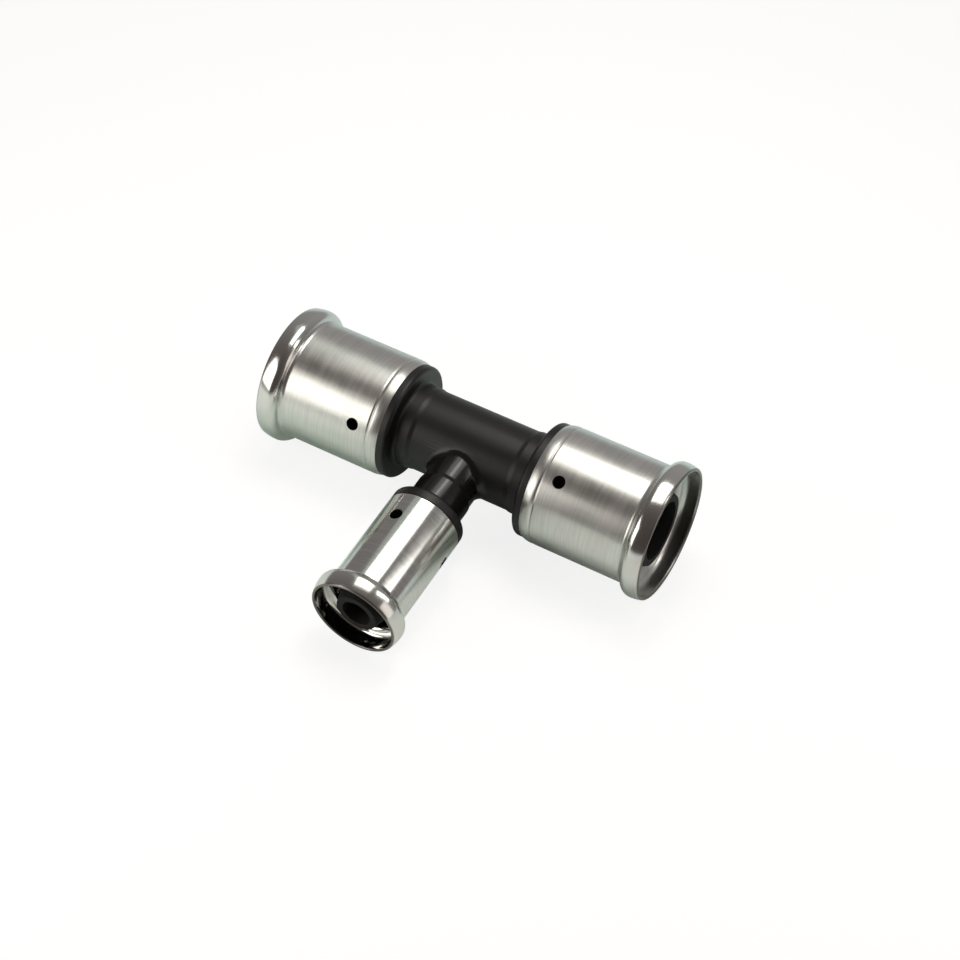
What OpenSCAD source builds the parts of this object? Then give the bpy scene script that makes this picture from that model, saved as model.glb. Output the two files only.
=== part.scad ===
// Reducing press tee for multilayer pipe: a moulded body, three sheet sleeves and six sealing rings.
// The run lies along X, the branch points along -Y, and the axes cross at the origin. Sizes in mm.

/* [Run outlets] */
// Outside diameter of the pipe that each run outlet takes
run_pipe_od = 26; // [22:0.5:32]
// Wall of that pipe
run_pipe_wall = 3; // [2.5:0.25:3.5]
// Distance from the branch axis to each run mouth
run_reach = 50; // [48:0.5:64]
// Length of each run sleeve
run_sleeve_length = 31.1; // [29:0.1:33]
// Sheet thickness of a run sleeve
run_sheet = 0.9; // [0.6:0.05:1.2]
// Height of the mouth bead over the run sleeve
run_bead_rise = 2.1; // [1.4:0.1:2.6]
// Distance from a run mouth back to the crest of its bead
run_crest = 3; // [2.4:0.1:3.6]
// Length of the flare from the run sleeve up to that crest
run_flare = 3.2; // [2.8:0.1:4.4]
// Radius of the hollow where the run flare leaves the sleeve
run_hollow = 1.2; // [0.8:0.1:1.6]
// Angle through which a run rim curls in
run_curl = 16; // [10:1:30]
// How far the lip at the inner end of a run sleeve is rolled in
lip_drop = 0.45; // [0.3:0.05:0.55]
// Length of that lip
lip_length = 2.2; // [1.6:0.1:2.6]
// Depth of the rolled crease behind the lip
crease_depth = 0.18; // [0.05:0.01:0.25]
// Width of that crease
crease_width = 0.9; // [0.6:0.1:1.2]
// How far a run nipple's tip stands back from its mouth
run_tip_recess = 2.4; // [1.2:0.1:3.4]
// Wall of the run tube between the collars
run_tube_wall = 2.65; // [2.3:0.05:3]
// Thickness of each run collar
run_collar = 2.2; // [1.6:0.1:3]
// Clocking of the inspection holes on the left run sleeve
left_clocking = 31; // [0:1:119]
// Clocking of the inspection holes on the right run sleeve
right_clocking = 58; // [0:1:119]

/* [Branch outlet] */
// Outside diameter of the pipe that the branch takes
branch_pipe_od = 16; // [15:0.5:18]
// Wall of that pipe
branch_pipe_wall = 2; // [1.75:0.25:2.25]
// Distance from the run axis to the branch mouth
branch_reach = 54.2; // [52:0.1:66]
// Length of the branch sleeve
branch_sleeve_length = 30.4; // [29:0.1:32]
// Sheet thickness of the branch sleeve
branch_sheet = 0.7; // [0.5:0.05:1]
// Height of the mouth bead over the branch sleeve
branch_bead_rise = 1.9; // [1.3:0.1:2.3]
// Distance from the branch mouth back to the crest of its bead
branch_crest = 3.6; // [3:0.1:4.2]
// Length of the flare from the branch sleeve up to that crest
branch_flare = 2.6; // [2.2:0.1:3.6]
// Radius of the hollow where the branch flare leaves the sleeve
branch_hollow = 1; // [0.6:0.1:1.3]
// Angle through which the branch rim curls in
branch_curl = 18; // [10:1:30]
// Radius of the rounded edge at the inner end of the branch sleeve
branch_edge = 0.35; // [0.15:0.05:0.45]
// How far the branch nipple's tip stands back from its mouth
branch_tip_recess = 1.6; // [0.8:0.1:3]
// Wall of the branch tube
branch_tube_wall = 2.85; // [2.5:0.05:3]
// Thickness of the branch collar
branch_collar = 2.6; // [1.8:0.1:3.2]
// Clocking of the inspection holes on the branch sleeve
branch_clocking = 108; // [0:1:119]

/* [Sleeves] */
// Gap all round between pipe and sleeve
pipe_clearance = 0.4; // [0.2:0.05:0.6]
// Gap all round between a sleeve and its seat on the body
seat_clearance = 0.05; // [0.02:0.01:0.12]
// Diameter of the inspection holes
hole_diameter = 3; // [2:0.1:3.4]
// Distance from a sleeve's inner end to the hole centres
hole_offset = 6.6; // [6.4:0.1:8]
// Number of inspection holes in a sleeve
hole_count = 3; // [2:1:4]

/* [Body] */
// Length of a sleeve seat, from the collar to the pipe stop
seat_length = 4.4; // [4:0.1:4.6]
// Chamfer on the outer edge of a pipe stop
stop_chamfer = 0.5; // [0.3:0.1:0.8]
// Gap all round between a nipple and the bore of its pipe
nipple_clearance = 0.2; // [0.1:0.05:0.3]
// Wall of a nipple under the floor of its ring grooves
nipple_wall = 1; // [0.7:0.05:1.2]
// Length of the taper at a nipple's tip
tip_taper = 3; // [2:0.1:3.5]
// Wall of a nipple at its tip
tip_wall = 1.5; // [1.2:0.1:2]
// Depth of the gripping teeth on a nipple
tooth_depth = 0.35; // [0.2:0.05:0.5]
// Distance from tooth to tooth in a pair
tooth_pitch = 1.5; // [1.2:0.1:1.6]
// Width of the plain land on each tooth
tooth_land = 0.2; // [0.1:0.05:0.4]
// Radius of the rounded outer edge of a collar
collar_edge = 0.9; // [0.4:0.1:1]
// Radius of the fillet between tube and collar
collar_fillet = 0.8; // [0.4:0.1:1]
// Step of the thicker neck beside each collar
neck_step = 0.25; // [0.1:0.05:0.4]
// Length of the ramp up to that step
neck_ramp = 1.4; // [0.6:0.1:2.4]
// Length of the neck on each side of the run
run_neck = 4.5; // [3:0.1:5.5]
// Length of the neck on the branch
branch_neck = 7.6; // [5:0.1:8]
// Radius of the saddle fillet between branch tube and run tube
saddle_fillet = 3; // [1.5:0.1:3.4]

/* [Sealing rings] */
// Section of a ring on a run nipple
run_ring = 1.8; // [1.4:0.05:1.9]
// Section of a ring on the branch nipple
branch_ring = 1.4; // [1.1:0.05:1.5]
// How far a seated ring stands proud of its nipple
ring_proud = 0.12; // [0.05:0.01:0.15]
// How much wider a groove is than its ring
groove_play = 0.5; // [0.3:0.05:0.7]
// Gap between a seated ring and the floor of its groove
ring_clearance = 0.02; // [0.01:0.01:0.05]

/* [Hidden] */
$fn = 96;
RUN = 0;
BRANCH = 1;
black = "#1e1d1a";
steel = "#c9cbc6";
rubber = "#141414";
arc_steps = 8;
ramp_steps = 6;

// Where the two grooves and the two pairs of teeth stand along the plain length of a nipple
groove_share = [0.32, 0.68];
teeth_share = [0.44, 0.8];

// The saddle fillet: sections round the branch, steps in each, and how deep its skirt and its root are sunk
saddle_turns = 48;
saddle_steps = 6;
saddle_sink = 0.15;
saddle_root = 1;
saddle_bulge = 0.1;

// Sizes of an outlet o, which is RUN or BRANCH
function pick(o, run_value, branch_value) = o == RUN ? run_value : branch_value;
function pipe_od(o) = pick(o, run_pipe_od, branch_pipe_od);
function pipe_wall(o) = pick(o, run_pipe_wall, branch_pipe_wall);
function reach(o) = pick(o, run_reach, branch_reach);
function sleeve_length(o) = pick(o, run_sleeve_length, branch_sleeve_length);
function sheet(o) = pick(o, run_sheet, branch_sheet);
function bead_rise(o) = pick(o, run_bead_rise, branch_bead_rise);
function crest_back(o) = pick(o, run_crest, branch_crest);
function flare_length(o) = pick(o, run_flare, branch_flare);
function hollow(o) = pick(o, run_hollow, branch_hollow);
function curl(o) = pick(o, run_curl, branch_curl);
function tip_recess(o) = pick(o, run_tip_recess, branch_tip_recess);
function tube_wall(o) = pick(o, run_tube_wall, branch_tube_wall);
function collar(o) = pick(o, run_collar, branch_collar);
function neck(o) = pick(o, run_neck, branch_neck);
function ring(o) = pick(o, run_ring, branch_ring);

// Outer radius of the sleeve, of its bead and of the collar that its inner end meets
function sleeve_r(o) = pipe_od(o) / 2 + pipe_clearance + sheet(o);
function bead_r(o) = sleeve_r(o) + bead_rise(o);
function collar_r(o) = sleeve_r(o) - pick(o, lip_drop, 0);

// Radii of the body: the nipple inside the pipe, the floor of its grooves, the waterway and the tube
function nipple_r(o) = pipe_od(o) / 2 - pipe_wall(o) - nipple_clearance;
function groove_floor(o) = nipple_r(o) + ring_proud - ring(o) - ring_clearance;
function waterway_r(o) = groove_floor(o) - nipple_wall;
function tube_r(o) = waterway_r(o) + tube_wall(o);

// Stations along an outlet's axis, from the crossing of the axes outwards
function shoulder(o) = reach(o) - sleeve_length(o);
function stop(o) = shoulder(o) + seat_length;
function tip(o) = reach(o) - tip_recess(o);
function groove_width(o) = ring(o) + groove_play;
function plain(o) = tip(o) - tip_taper - stop(o);
function groove_at(o, i) = stop(o) + groove_share[i] * plain(o);
function teeth_at(o, i) = stop(o) + teeth_share[i] * plain(o);

// Points [radius, station] on an arc about c
function arc(c, r, from, to, steps = arc_steps) =
  [for (i = [0 : steps]) let (a = from + (to - from) * i / steps) c + r * [sin(a), cos(a)]];

// The inner end of a sleeve, d under its outer skin: a rolled lip and crease on the run, and on the branch
// a plain end with its outer edge rounded
lip_curve = (pow(lip_length, 2) + pow(lip_drop, 2)) / (2 * lip_drop);
function lip(d) = arc([sleeve_r(RUN) - lip_curve, lip_length], lip_curve - d,
  90 + asin(lip_length / (lip_curve - d)), 90, 6);
function crease(d) = [for (i = [1 : 8])
  [sleeve_r(RUN) - d - crease_depth * (1 - cos(45 * i)) / 2, lip_length + crease_width * i / 8]];
function plain_end(d) = d > 0 ? [[sleeve_r(BRANCH) - d, 0]] :
  arc([sleeve_r(BRANCH) - branch_edge, branch_edge], branch_edge, 180, 90, 5);
function inner_end(o, d) = o == RUN ? concat(lip(d), crease(d)) : plain_end(d);

// The flare, bead and curled rim of a sleeve, d under its outer skin. The hollow of the flare and the
// crown of the bead are two arcs that meet on one tangent and share the flare's length between them.
function flare_turn(o) = 2 * atan(bead_rise(o) / flare_length(o));
function crown(o) = flare_length(o) / sin(flare_turn(o)) - hollow(o);
function crest(o) = sleeve_length(o) - crest_back(o);
function flare(o, d) = arc([sleeve_r(o) + hollow(o), crest(o) - flare_length(o)],
  hollow(o) + d, 270, 270 + flare_turn(o));
function bead(o, d) = arc([bead_r(o) - crown(o), crest(o)], crown(o) - d, 90 + flare_turn(o), 90);
function rim_radius(o) = (crest_back(o) - sheet(o) / 2) / sin(curl(o)) + sheet(o) / 2;
function rim_centre(o) = [bead_r(o) - rim_radius(o), crest(o)];
function rim(o, d) = arc(rim_centre(o), rim_radius(o) - d, 90, 90 - curl(o));
function rim_middle(o) = rim_radius(o) - sheet(o) / 2;
function rim_end(o) = arc(rim_centre(o) + rim_middle(o) * [cos(curl(o)), sin(curl(o))],
  sheet(o) / 2, 90 - curl(o), -90 - curl(o), 6);

// One skin of a sleeve from its inner end to its rim, d under the outer one
function skin(o, d) = concat(inner_end(o, d), flare(o, d), tail(bead(o, d)), tail(rim(o, d)));
function tail(points) = [for (i = [1 : len(points) - 1]) points[i]];
function middle(points) = [for (i = [1 : len(points) - 2]) points[i]];
function back(points) = [for (i = [len(points) - 1 : -1 : 0]) points[i]];
function shifted(points, by) = [for (p = points) p + [0, by]];

// The plain nipple from the pipe stop to its tip: grooves for two rings and two pairs of gripping teeth
function groove(o, i) = let (w = groove_width(o) / 2, s = groove_at(o, i))
  [[nipple_r(o), s - w], [groove_floor(o), s - w], [groove_floor(o), s + w], [nipple_r(o), s + w]];
function tooth(r, from) = [[r, from], [r - tooth_depth, from], [r, from + tooth_pitch - tooth_land]];
function teeth(o, i) =
  concat(tooth(nipple_r(o), teeth_at(o, i)), tooth(nipple_r(o), teeth_at(o, i) + tooth_pitch));
function nipple(o) = concat(
  [[nipple_r(o), stop(o)]], groove(o, 0), teeth(o, 0), groove(o, 1), teeth(o, 1),
  [[nipple_r(o), tip(o) - tip_taper], [waterway_r(o) + tip_wall, tip(o)], [0, tip(o)]]);

// Half of an outlet's outline from the crossing to the tip
function outlet(o) = let (
    t = tube_r(o), n = t + neck_step, c = collar_r(o), f = shoulder(o) - collar(o),
    d = sheet(o) + seat_clearance, s = shoulder(o))
  concat(
    [for (i = [0 : ramp_steps]) let (k = i / ramp_steps)
      [t + neck_step * (1 - cos(180 * k)) / 2, f - neck(o) + neck_ramp * k]],
    arc([n + collar_fillet, f - collar_fillet], collar_fillet, 270, 360, 5),
    arc([c - collar_edge, f + collar_edge], collar_edge, 180, 90, 6),
    [[c, s]],
    shifted(inner_end(o, d), s),
    [[sleeve_r(o) - d, stop(o) - stop_chamfer], [sleeve_r(o) - d - stop_chamfer, stop(o)]],
    nipple(o));
function mirrored(points) = [for (p = points) [p[0], -p[1]]];

// The saddle fillet in the half plane at angle a round the branch: [radius from the branch axis, station]
function run_surface(q, a) = sqrt(pow(tube_r(RUN), 2) - pow(q * sin(a), 2));
function saddle_section(a) = let (
    q = tube_r(BRANCH), v = run_surface(q, a), fall = atan(q * pow(sin(a), 2) / v),
    leg = saddle_fillet * tan((90 - fall) / 2), w = q + leg * cos(fall),
    high = [q - saddle_sink, v + leg], corner = [q + saddle_bulge, v + saddle_bulge],
    low = [w, run_surface(w, a) - saddle_sink])
  concat(
    [for (i = [0 : saddle_steps]) let (k = i / saddle_steps)
      (1 - k) * (1 - k) * high + 2 * k * (1 - k) * corner + k * k * low],
    [[q - saddle_root, v - saddle_root]]);
function saddle_ring(a) = [for (p = saddle_section(a)) [p[0] * cos(a), -p[1], p[0] * sin(a)]];

module saddle() {
  m = saddle_steps + 2;
  points = [for (j = [0 : saddle_turns - 1]) each saddle_ring(360 * j / saddle_turns)];
  faces = [for (j = [0 : saddle_turns - 1]) for (i = [0 : m - 1]) let (
      a = j * m + i, b = j * m + (i + 1) % m, c = ((j + 1) % saddle_turns) * m + i,
      d = ((j + 1) % saddle_turns) * m + (i + 1) % m)
    each [[a, c, b], [b, c, d]]];
  polyhedron(points, faces);
}

// Turns a shape made about +Z so that its axis runs along an outlet
module to_right() rotate([0, 90, 0]) children();
module to_left() mirror([1, 0, 0]) to_right() children();
module to_branch() rotate([90, 0, 0]) children();

module tee_body() color(black) difference() {
  union() {
    to_right() rotate_extrude() polygon(concat(back(mirrored(outlet(RUN))), outlet(RUN)));
    to_branch() rotate_extrude() polygon(concat([[0, 0], [tube_r(BRANCH), 0]], outlet(BRANCH)));
    saddle();
  }
  to_right() cylinder(r = waterway_r(RUN), h = 2 * tip(RUN) + 2, center = true);
  to_branch() cylinder(r = waterway_r(BRANCH), h = tip(BRANCH) + 1);
}

// A sleeve about +Z at its own station, with its holes clocked from the X axis
module sleeve(o, clocking) color(steel) translate([0, 0, shoulder(o)]) difference() {
  rotate_extrude() polygon(concat(skin(o, 0), middle(rim_end(o)), back(skin(o, sheet(o)))));
  for (i = [0 : hole_count - 1]) rotate([0, 0, clocking + 360 * i / hole_count])
    translate([0, 0, hole_offset]) rotate([0, 90, 0]) cylinder(d = hole_diameter, h = bead_r(o), $fn = 32);
}

// Ring i of an outlet about +Z, seated in its groove
module seal(o, i) color(rubber) translate([0, 0, groove_at(o, i)])
  rotate_extrude() translate([nipple_r(o) + ring_proud - ring(o) / 2, 0]) circle(d = ring(o), $fn = 32);

module run_sleeve_left() to_left() sleeve(RUN, 270 - left_clocking);
module run_sleeve_right() to_right() sleeve(RUN, 270 - right_clocking);
module branch_sleeve() to_branch() sleeve(BRANCH, branch_clocking);
module seal_left_inner() to_left() seal(RUN, 0);
module seal_left_outer() to_left() seal(RUN, 1);
module seal_right_inner() to_right() seal(RUN, 0);
module seal_right_outer() to_right() seal(RUN, 1);
module seal_branch_inner() to_branch() seal(BRANCH, 0);
module seal_branch_outer() to_branch() seal(BRANCH, 1);

tee_body();
run_sleeve_left();
run_sleeve_right();
branch_sleeve();
seal_left_inner();
seal_left_outer();
seal_right_inner();
seal_right_outer();
seal_branch_inner();
seal_branch_outer();
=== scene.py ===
"""Press tee fitting on a pale floor: black moulded body, three stainless press sleeves, six sealing rings."""

import math

import bpy
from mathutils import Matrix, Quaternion, Vector


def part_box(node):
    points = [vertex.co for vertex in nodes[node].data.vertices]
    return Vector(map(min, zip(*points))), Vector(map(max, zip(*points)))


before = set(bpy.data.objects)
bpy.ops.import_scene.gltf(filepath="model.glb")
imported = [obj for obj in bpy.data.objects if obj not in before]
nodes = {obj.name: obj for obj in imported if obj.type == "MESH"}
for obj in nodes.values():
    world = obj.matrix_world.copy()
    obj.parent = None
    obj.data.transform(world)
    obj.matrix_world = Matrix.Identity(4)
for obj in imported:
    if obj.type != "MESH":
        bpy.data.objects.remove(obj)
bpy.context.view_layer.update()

MM = 0.001

RUN_SLEEVES = ("run_sleeve_left", "run_sleeve_right")
BRANCH_SLEEVE = "branch_sleeve"
BODY = "tee_body"
SEALS = [name for name in nodes if name.startswith("seal_")]


def linear(hex_colour):
    """An sRGB hex colour as linear RGBA."""
    parts = [int(hex_colour[i:i + 2], 16) / 255 for i in (1, 3, 5)]
    return [c / 12.92 if c <= 0.04045 else ((c + 0.055) / 1.055) ** 2.4 for c in parts] + [1.0]


def put(tree, kind, ins=None, **settings):
    """A new node with its settings; ins gives each socket, by name or number, a value or a link."""
    made = tree.nodes.new(kind)
    for name, value in settings.items():
        setattr(made, name, value)
    for socket, value in (ins or {}).items():
        if isinstance(value, bpy.types.NodeSocket):
            tree.links.new(value, made.inputs[socket])
        else:
            made.inputs[socket].default_value = value
    return made


def new_material(name):
    """An empty material and its node tree."""
    material = bpy.data.materials.new(name)
    material.use_nodes = True
    material.node_tree.nodes.clear()
    return material, material.node_tree


def paint(name, material):
    """Gives every material slot of a CAD node one material."""
    for slot in nodes[name].material_slots:
        slot.material = material


# Forms: the CAD solids, with their arcs shaded as one curve and only true edges left sharp

WELD_REACH = 0.002 * MM
SHEET_EDGE, BODY_EDGE = 40, 24


def shading_group(name, sharp_from):
    """Geometry nodes that join the faces of a solid and keep edges over an angle in degrees sharp."""
    group = bpy.data.node_groups.new(name, "GeometryNodeTree")
    group.interface.new_socket("Geometry", in_out="INPUT", socket_type="NodeSocketGeometry")
    group.interface.new_socket("Geometry", in_out="OUTPUT", socket_type="NodeSocketGeometry")
    start = put(group, "NodeGroupInput")
    bare = put(group, "GeometryNodeRemoveAttribute", {"Geometry": start.outputs[0], "Name": "custom_normal"})
    joined = put(group, "GeometryNodeMergeByDistance", {"Geometry": bare.outputs[0], "Distance": WELD_REACH})
    smooth = put(group, "GeometryNodeSetShadeSmooth", {"Geometry": joined.outputs[0], "Shade Smooth": True})
    angle = put(group, "GeometryNodeInputMeshEdgeAngle")
    sharp = put(
        group,
        "FunctionNodeCompare",
        {"A": angle.outputs["Unsigned Angle"], "B": math.radians(sharp_from)},
        data_type="FLOAT",
        operation="GREATER_THAN",
    )
    edges = put(
        group,
        "GeometryNodeSetShadeSmooth",
        {"Geometry": smooth.outputs[0], "Selection": sharp.outputs[0], "Shade Smooth": False},
        domain="EDGE",
    )
    put(group, "NodeGroupOutput", {0: edges.outputs[0]})
    return group


def shade(name, group):
    """Smooth shading led by the large faces of a solid, so that its tubes stay straight up to their arcs."""
    node = nodes[name]
    node.modifiers.new("shading", "NODES").node_group = group
    lead = node.modifiers.new("large faces lead", "WEIGHTED_NORMAL")
    lead.mode = "FACE_AREA"
    lead.keep_sharp = True


rolled = shading_group("Rolled sheet", SHEET_EDGE)
moulded = shading_group("Moulded body", BODY_EDGE)
for sleeve in (*RUN_SLEEVES, BRANCH_SLEEVE):
    shade(sleeve, rolled)
for name in (BODY, *SEALS):
    shade(name, moulded)


# Materials

# The sleeves' outer radius, and their inner end and mouth measured from where the axes cross
RUN_RADIUS, BRANCH_RADIUS = 14.3 * MM, 9.1 * MM
RUN_SHOULDER, BRANCH_SHOULDER = 18.9 * MM, 23.8 * MM
RUN_MOUTH, BRANCH_MOUTH = 50 * MM, 54.2 * MM

# Polishing lines on the steel, coarser than the real ones so that they show, and the haze among them
LINE_PITCH, LINE_LENGTH = 0.4 * MM, 12 * MM
HAZE_PATCH = 6 * MM
WAVINESS = 0.03 * MM
# How dark the lines are on the plain sleeve and on the bead
SLEEVE_SCORE, BEAD_SCORE = 0.11, 0.02
# The bead, by its rise above the sleeve, and the cut edge, by its distance from the mouth
BEAD_FOOT, BEAD_FLANK = 0.05 * MM, 0.6 * MM
CUT_START, CUT_FULL = 0.4 * MM, 0.2 * MM
BEAD_GLOSS, CUT_GLOSS = 0.17, 0.3

# Flow marks on the plastic, and its tool grain, coarser than the real one so that it shows
FLOW_MARK = 7 * MM
TOOL_GRAIN = 0.3 * MM
BRANCH_POLISH, RUN_POLISH, NIPPLE_POLISH = 0.15, 0.38, 0.8
# Where the polish of the branch gives way: by distance from its axis, and along it towards the run
NECK_SIDE, FILLET_FOOT = 6.8 * MM, 8 * MM
NECK_BACK, RUN_CORE = -6 * MM, -4 * MM

# Smears of grease on the rubber
GREASE_SMEAR = 1.5 * MM


def drawn_stainless(name, axis, sleeve_radius, mouth, roughness, spread, inside_roughness):
    """Stainless strip, drawn into a sleeve along one axis of the part, polished, then rolled up to a bead.

    The polishing leaves fine lines round the sleeve, so its gloss is satin, and the roller leaves the bead
    nearly a mirror. The inside keeps the gloss that the punch gave it. The cut edge of the rim is dull, and
    its darker colour is partly that of dull cut steel and partly painted shade.
    """
    material, tree = new_material(name)
    here = put(tree, "ShaderNodeTexCoord").outputs
    place = here["Object"]
    at = put(tree, "ShaderNodeSeparateXYZ", {0: place}).outputs
    side, along = at[1 - axis], at[axis]
    across = [0.0 if i == axis else 1.0 for i in range(3)]
    spoke = put(tree, "ShaderNodeVectorMath", {0: place, 1: across}, operation="MULTIPLY").outputs[0]
    radius = put(tree, "ShaderNodeVectorMath", {0: spoke}, operation="LENGTH").outputs["Value"]
    angle = put(tree, "ShaderNodeMath", {0: side, 1: at[2]}, operation="ARCTAN2").outputs[0]

    # The lines run round the sleeve, row beside row
    turn = put(
        tree, "ShaderNodeMath", {0: angle, 1: sleeve_radius / LINE_LENGTH}, operation="MULTIPLY"
    ).outputs[0]
    rows = put(tree, "ShaderNodeMath", {0: along, 1: 1 / LINE_PITCH}, operation="MULTIPLY").outputs[0]
    spun = put(tree, "ShaderNodeCombineXYZ", {0: turn, 1: rows}).outputs[0]
    lines = put(
        tree, "ShaderNodeTexNoise", {"Vector": spun, "Scale": 1.0, "Detail": 1.0}, noise_dimensions="2D"
    ).outputs[0]
    # Haze left by the polish
    haze = put(
        tree, "ShaderNodeTexNoise", {"Vector": place, "Scale": 1 / HAZE_PATCH, "Detail": 3.0}
    ).outputs[0]

    # From the plain sleeve up to the rolled bead
    bead = put(
        tree,
        "ShaderNodeMapRange",
        {0: radius, 1: sleeve_radius + BEAD_FOOT, 2: sleeve_radius + BEAD_FLANK, 3: 0.0, 4: 1.0},
    ).outputs[0]
    hazy = put(
        tree, "ShaderNodeMapRange", {0: haze, 1: 0.3, 2: 0.7, 3: roughness * 0.95, 4: roughness * 1.15}
    ).outputs[0]
    streak = put(tree, "ShaderNodeMapRange", {0: lines, 1: 0.4, 2: 0.6, 3: 0.96, 4: 1.04}).outputs[0]
    satin = put(tree, "ShaderNodeMath", {0: hazy, 1: streak}, operation="MULTIPLY").outputs[0]
    outside = put(tree, "ShaderNodeMapRange", {0: bead, 1: 0.0, 2: 1.0, 3: satin, 4: BEAD_GLOSS}).outputs[0]
    # Faces that look at the axis are the inside of the sheet; its end at the mouth is the cut edge
    outward = put(
        tree, "ShaderNodeVectorMath", {0: here["Normal"], 1: spoke}, operation="DOT_PRODUCT"
    ).outputs["Value"]
    inside = put(tree, "ShaderNodeMath", {0: outward, 1: 0.0}, operation="LESS_THAN").outputs[0]
    reach = put(tree, "ShaderNodeMath", {0: along}, operation="ABSOLUTE").outputs[0]
    edge = put(
        tree, "ShaderNodeMapRange", {0: reach, 1: mouth - CUT_START, 2: mouth - CUT_FULL, 3: 0.0, 4: 1.0}
    ).outputs[0]
    sheet = put(
        tree, "ShaderNodeMapRange", {0: inside, 1: 0.0, 2: 1.0, 3: outside, 4: inside_roughness}
    ).outputs[0]
    gloss = put(tree, "ShaderNodeMapRange", {0: edge, 1: 0.0, 2: 1.0, 3: sheet, 4: CUT_GLOSS}).outputs[0]
    bright = put(
        tree, "ShaderNodeMix", {0: haze, 6: linear("#d2d7d1"), 7: linear("#dfdbd9")}, data_type="RGBA"
    ).outputs[2]
    # Each line is a little darker than the metal beside it, and the roller has closed those on the bead
    score = put(
        tree, "ShaderNodeMapRange", {0: bead, 1: 0.0, 2: 1.0, 3: SLEEVE_SCORE, 4: BEAD_SCORE}
    ).outputs[0]
    dark = put(tree, "ShaderNodeMapRange", {0: lines, 1: 0.4, 2: 0.6, 3: score, 4: 0.0}).outputs[0]
    dull = linear("#7b7773")
    lined = put(tree, "ShaderNodeMix", {0: dark, 6: bright, 7: dull}, data_type="RGBA").outputs[2]
    # The cut edge at the mouth takes that dull colour: partly the cut steel's own, partly painted shade
    tint = put(tree, "ShaderNodeMix", {0: edge, 6: lined, 7: dull}, data_type="RGBA").outputs[2]
    # Drawing leaves the sheet a few hundredths of a millimetre out of true, which makes the reflections waver
    wavy = put(tree, "ShaderNodeBump", {"Height": haze, "Strength": 0.5, "Distance": WAVINESS}).outputs[0]
    # Lines round the sleeve spread each reflection along its axis
    lengthwise = [1.0 if i == axis else 0.0 for i in range(3)]
    grain = put(
        tree,
        "ShaderNodeVectorTransform",
        {0: lengthwise},
        vector_type="VECTOR",
        convert_from="OBJECT",
        convert_to="WORLD",
    ).outputs[0]
    shader = put(
        tree,
        "ShaderNodeBsdfPrincipled",
        {
            "Base Color": tint,
            "Metallic": 1.0,
            "Roughness": gloss,
            "Anisotropic": spread,
            "Tangent": grain,
            "Normal": wavy,
        },
    )
    put(tree, "ShaderNodeOutputMaterial", {"Surface": shader.outputs[0]})
    return material


def moulded_plastic():
    """Black polyphenylsulfone, injection moulded in a polished tool that has seen some use.

    It is nearly black, with a satin gloss that is a little uneven where the melt flowed, and a fine grain.
    Inside the sleeves the tool was left as cut, so the nipples are dull.
    """
    material, tree = new_material("polyphenylsulfone, black, moulded")
    place = put(tree, "ShaderNodeTexCoord").outputs["Object"]
    flow = put(
        tree,
        "ShaderNodeTexNoise",
        {"Vector": place, "Scale": 1 / FLOW_MARK, "Detail": 3.0, "Distortion": 0.6},
    ).outputs[0]
    grain = put(
        tree, "ShaderNodeTexNoise", {"Vector": place, "Scale": 1 / TOOL_GRAIN, "Detail": 2.0}
    ).outputs[0]
    tint = put(
        tree, "ShaderNodeMix", {0: flow, 6: linear("#11100f"), 7: linear("#161514")}, data_type="RGBA"
    ).outputs[2]
    # The branch has a finer polish than the run, up to the foot of its root fillet
    at = put(tree, "ShaderNodeSeparateXYZ", {0: place}).outputs
    spoke = put(tree, "ShaderNodeVectorMath", {0: place, 1: (1.0, 0.0, 1.0)}, operation="MULTIPLY").outputs[0]
    radius = put(tree, "ShaderNodeVectorMath", {0: spoke}, operation="LENGTH").outputs["Value"]
    beside = put(
        tree, "ShaderNodeMapRange", {0: radius, 1: NECK_SIDE, 2: FILLET_FOOT, 3: 0.0, 4: 1.0}
    ).outputs[0]
    behind = put(
        tree, "ShaderNodeMapRange", {0: at[1], 1: NECK_BACK, 2: RUN_CORE, 3: 0.0, 4: 1.0}
    ).outputs[0]
    off_branch = put(tree, "ShaderNodeMath", {0: beside, 1: behind}, operation="MAXIMUM").outputs[0]
    polish = put(
        tree, "ShaderNodeMapRange", {0: off_branch, 1: 0.0, 2: 1.0, 3: BRANCH_POLISH, 4: RUN_POLISH}
    ).outputs[0]
    satin = put(tree, "ShaderNodeMath", {0: flow, 1: 0.1, 2: polish}, operation="MULTIPLY_ADD").outputs[0]
    # How far past the inner end of a sleeve, on the run and on the branch
    reach = put(tree, "ShaderNodeMath", {0: at[0]}, operation="ABSOLUTE").outputs[0]
    past_run = put(tree, "ShaderNodeMath", {0: reach, 1: RUN_SHOULDER}, operation="SUBTRACT").outputs[0]
    past_branch = put(
        tree, "ShaderNodeMath", {0: -BRANCH_SHOULDER, 1: at[1]}, operation="SUBTRACT"
    ).outputs[0]
    past = put(tree, "ShaderNodeMath", {0: past_run, 1: past_branch}, operation="MAXIMUM").outputs[0]
    gloss = put(
        tree, "ShaderNodeMapRange", {0: past, 1: 0.0, 2: 1 * MM, 3: satin, 4: NIPPLE_POLISH}
    ).outputs[0]
    rough = put(
        tree, "ShaderNodeBump", {"Height": grain, "Strength": 0.12, "Distance": 0.02 * MM}
    ).outputs[0]
    shader = put(
        tree,
        "ShaderNodeBsdfPrincipled",
        {"Base Color": tint, "Roughness": gloss, "IOR": 1.45, "Normal": rough},
    )
    put(tree, "ShaderNodeOutputMaterial", {"Surface": shader.outputs[0]})
    return material


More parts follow.
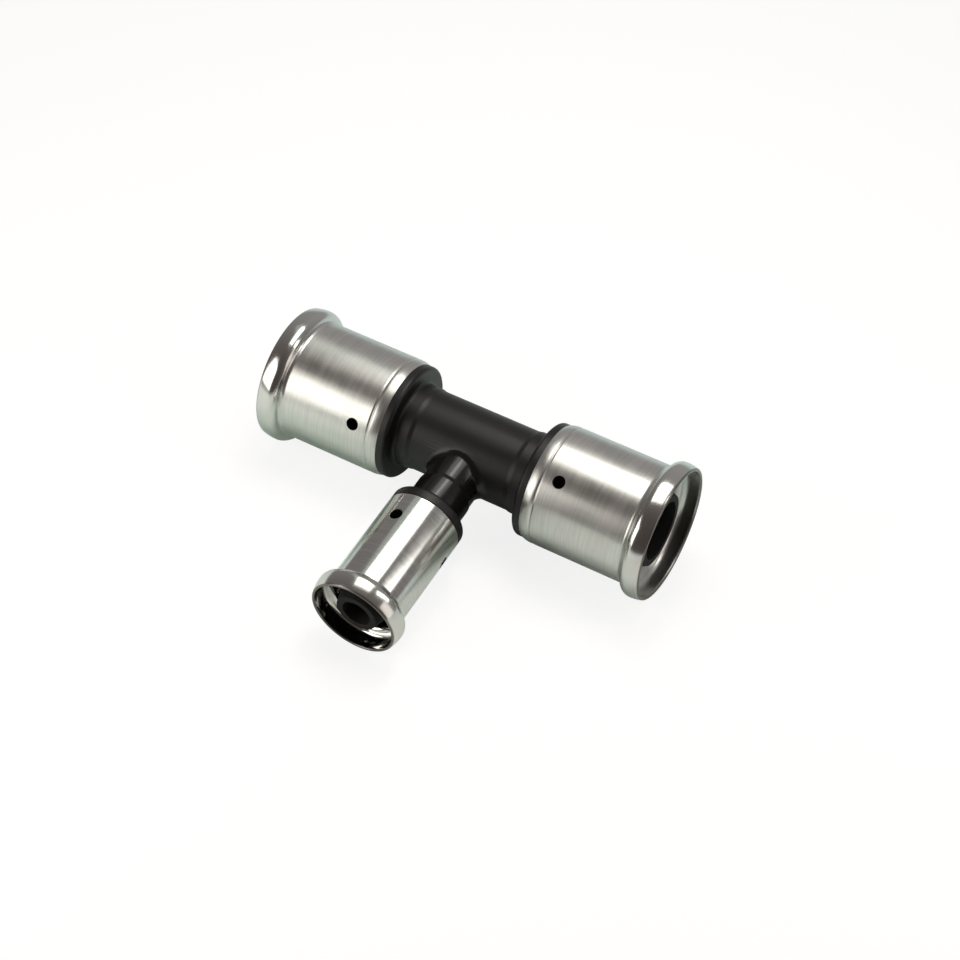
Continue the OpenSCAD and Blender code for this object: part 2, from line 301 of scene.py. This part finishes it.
def moulded_rubber():
    """EPDM rubber, compression moulded and lightly greased: deep black with a dull, blotched sheen."""
    material, tree = new_material("EPDM rubber, moulded and greased")
    place = put(tree, "ShaderNodeTexCoord").outputs["Object"]
    grease = put(
        tree, "ShaderNodeTexNoise", {"Vector": place, "Scale": 1 / GREASE_SMEAR, "Detail": 3.0}
    ).outputs[0]
    tint = put(
        tree, "ShaderNodeMix", {0: grease, 6: linear("#0f0f0f"), 7: linear("#191918")}, data_type="RGBA"
    ).outputs[2]
    gloss = put(tree, "ShaderNodeMapRange", {0: grease, 1: 0.3, 2: 0.7, 3: 0.35, 4: 0.6}).outputs[0]
    soft = put(
        tree, "ShaderNodeBump", {"Height": grease, "Strength": 0.2, "Distance": 0.03 * MM}
    ).outputs[0]
    shader = put(
        tree,
        "ShaderNodeBsdfPrincipled",
        {"Base Color": tint, "Roughness": gloss, "IOR": 1.52, "Normal": soft},
    )
    put(tree, "ShaderNodeOutputMaterial", {"Surface": shader.outputs[0]})
    return material


run_steel = drawn_stainless(
    "stainless strip, drawn and polished, run size",
    axis=0,
    sleeve_radius=RUN_RADIUS,
    mouth=RUN_MOUTH,
    roughness=0.305,
    spread=0.25,
    inside_roughness=0.3,
)
branch_steel = drawn_stainless(
    "stainless strip, drawn and polished, branch size",
    axis=1,
    sleeve_radius=BRANCH_RADIUS,
    mouth=BRANCH_MOUTH,
    roughness=0.148,
    spread=0.2,
    inside_roughness=0.1,
)
for sleeve in RUN_SLEEVES:
    paint(sleeve, run_steel)
paint(BRANCH_SLEEVE, branch_steel)
paint(BODY, moulded_plastic())
rubber = moulded_rubber()
for seal in SEALS:
    paint(seal, rubber)


# Stage: the fitting lies on its three beads, so the floor is tilted to touch them

run_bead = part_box("run_sleeve_right")[1].z
branch_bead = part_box(BRANCH_SLEEVE)[1].z
# How far the crest of the branch's bead lies behind its mouth
BRANCH_CREST_BACK = 3.6 * MM
branch_crest = -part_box(BRANCH_SLEEVE)[0].y - BRANCH_CREST_BACK
tilt = math.atan2(branch_crest, branch_bead) - math.acos(run_bead / math.hypot(branch_crest, branch_bead))
up = Vector((0.0, math.sin(tilt), math.cos(tilt)))

FLOOR_HALF = 4.0
floor_mesh = bpy.data.meshes.new("floor")
corners = [(-FLOOR_HALF, -FLOOR_HALF, 0), (FLOOR_HALF, -FLOOR_HALF, 0), (FLOOR_HALF, FLOOR_HALF, 0)]
floor_mesh.from_pydata([*corners, (-FLOOR_HALF, FLOOR_HALF, 0)], [], [(0, 1, 2, 3)])
floor = bpy.data.objects.new("floor", floor_mesh)
floor.rotation_euler.x = -tilt
floor.location = -run_bead * up
bpy.context.scene.collection.objects.link(floor)


def floor_paper():
    """White matt paper, tinted across the floor as painted coloured light. Much of its white is its own
    light, so its shadow is faint.
    """
    material, tree = new_material("paper, white, matt")
    rays = put(tree, "ShaderNodeLightPath").outputs
    place = put(tree, "ShaderNodeTexCoord").outputs["Object"]
    # Painted light: the paper is tinted as if lit greenish at the left, neutral at the right and colder at
    # the back
    at = put(tree, "ShaderNodeSeparateXYZ", {0: place}).outputs
    right = put(tree, "ShaderNodeMapRange", {0: at[0], 1: -60 * MM, 2: 60 * MM, 3: 0.0, 4: 1.0}).outputs[0]
    rear = put(tree, "ShaderNodeMapRange", {0: at[1], 1: -80 * MM, 2: 80 * MM, 3: 0.0, 4: 1.0}).outputs[0]
    front = put(
        tree, "ShaderNodeMix", {0: right, 6: linear("#e6f8e4"), 7: linear("#f3f3ea")}, data_type="RGBA"
    ).outputs[2]
    painted_light_tint = put(tree, "ShaderNodeMix", {0: rear, 6: front, 7: linear("#d6f2f4")}, data_type="RGBA").outputs[2]
    plain = put(tree, "ShaderNodeBsdfDiffuse", {"Color": painted_light_tint}).outputs[0]
    faint = put(tree, "ShaderNodeBsdfDiffuse", {"Color": linear("#8a8a89")}).outputs[0]
    glow = put(tree, "ShaderNodeEmission", {"Color": linear("#ffffff"), "Strength": 0.84}).outputs[0]
    own = put(tree, "ShaderNodeAddShader", {0: glow, 1: faint}).outputs[0]
    # The camera sees all of that white, and metal or glass shows some of it: least beside the run, where the
    # fitting shades the floor, and most out at the front left
    mirrored = put(
        tree,
        "ShaderNodeMath",
        {0: rays["Is Glossy Ray"], 1: rays["Is Transmission Ray"]},
        operation="MAXIMUM",
    ).outputs[0]
    depth = put(tree, "ShaderNodeMath", {0: at[1]}, operation="ABSOLUTE").outputs[0]
    clear = put(tree, "ShaderNodeMapRange", {0: depth, 1: 14 * MM, 2: 30 * MM, 3: 0.02, 4: 0.29}).outputs[0]
    corner = put(tree, "ShaderNodeMath", {0: at[0], 1: at[1]}, operation="ADD").outputs[0]
    left = put(tree, "ShaderNodeMapRange", {0: corner, 1: -110 * MM, 2: -70 * MM, 3: 0.6, 4: 0.0}).outputs[0]
    white = put(tree, "ShaderNodeMath", {0: clear, 1: left}, operation="MAXIMUM").outputs[0]
    share = put(
        tree,
        "ShaderNodeMath",
        {0: mirrored, 1: white, 2: rays["Is Camera Ray"]},
        operation="MULTIPLY_ADD",
    ).outputs[0]
    mixed = put(tree, "ShaderNodeMixShader", {0: share, 1: plain, 2: own}).outputs[0]
    put(tree, "ShaderNodeOutputMaterial", {"Surface": mixed})
    return material


floor_mesh.materials.append(floor_paper())


# Light: a dim room, a broad softbox above and behind, one at the front left, a strip and two panels

world = bpy.data.worlds.new("studio")
bpy.context.scene.world = world
world.use_nodes = True
world.node_tree.nodes.clear()
sky = world.node_tree
way = put(sky, "ShaderNodeTexCoord").outputs["Generated"]
# The room is light at the back, and dark and warmer at the front, where the camera stands
ROOM_LEVEL, ROOM_SLOPE, ROOM_CURVE = 0.145, 0.147, 0.07
depth = put(sky, "ShaderNodeSeparateXYZ", {0: way}).outputs[1]
rise = put(
    sky, "ShaderNodeMath", {0: depth, 1: ROOM_CURVE, 2: ROOM_SLOPE}, operation="MULTIPLY_ADD"
).outputs[0]
strength = put(
    sky, "ShaderNodeMath", {0: depth, 1: rise, 2: ROOM_LEVEL}, operation="MULTIPLY_ADD"
).outputs[0]
rear = put(sky, "ShaderNodeMapRange", {0: depth, 1: -0.6, 2: 0.6, 3: 0.0, 4: 1.0}).outputs[0]
walls = put(
    sky, "ShaderNodeMix", {0: rear, 6: linear("#ffeae2"), 7: linear("#faf3f2")}, data_type="RGBA"
).outputs[2]
room = put(sky, "ShaderNodeBackground", {"Color": walls, "Strength": strength})
put(sky, "ShaderNodeOutputWorld", {"Surface": room.outputs[0]})


def softbox(name, centre, width, height, radiance, colour="#fffcf5"):
    """A rectangular lamp that faces the middle of the part, sizes in mm; radiance is how bright it looks."""
    lamp = bpy.data.lights.new(name, "AREA")
    lamp.shape = "RECTANGLE"
    lamp.size, lamp.size_y = width * MM, height * MM
    lamp.energy = radiance * math.pi * width * height * MM * MM
    lamp.color = linear(colour)[:3]
    stand = bpy.data.objects.new(name, lamp)
    stand.location = Vector(centre) * MM
    stand.rotation_mode = "QUATERNION"
    stand.rotation_quaternion = (-Vector(centre)).to_track_quat("-Z", "Y")
    stand.visible_camera = False
    bpy.context.scene.collection.objects.link(stand)


softbox("softbox above", (-5, 114, 308), 224, 218, 2.5)
softbox("lamp in the softbox above", (-2, 142, 300), 46, 120, 7.0)
softbox("softbox front left", (-177, -205, 142), 194, 200, 2.4)
softbox("panel above left", (-158, 178, 300), 92, 190, 0.26, "#e8ffee")
softbox("strip back right", (206, 74, 184), 54, 164, 3.0)
softbox("panel right", (290, -1, 84), 105, 190, 0.95, "#fff6f0")


# Camera, at the photograph's angle

AZIMUTH, ELEVATION, ROLL = 30.69, 51.26, -1.155
DISTANCE = 528.7 * MM
LOOKS_AT = Vector((3.31, -4.19, -4.26)) * MM
a, e = math.radians(AZIMUTH), math.radians(ELEVATION)
back = Vector((math.sin(a) * math.cos(e), -math.cos(a) * math.cos(e), math.sin(e)))
lens = bpy.data.cameras.new("camera")
lens.sensor_width = 36
lens.lens = 86.25
lens.clip_start, lens.clip_end = 0.01, 10
camera = bpy.data.objects.new("camera", lens)
camera.location = LOOKS_AT + back * DISTANCE
camera.rotation_mode = "QUATERNION"
camera.rotation_quaternion = (-back).to_track_quat("-Z", "Y") @ Quaternion((0, 0, 1), math.radians(ROLL))
bpy.context.scene.collection.objects.link(camera)
bpy.context.scene.camera = camera
bpy.context.scene.view_settings.view_transform = "Standard"
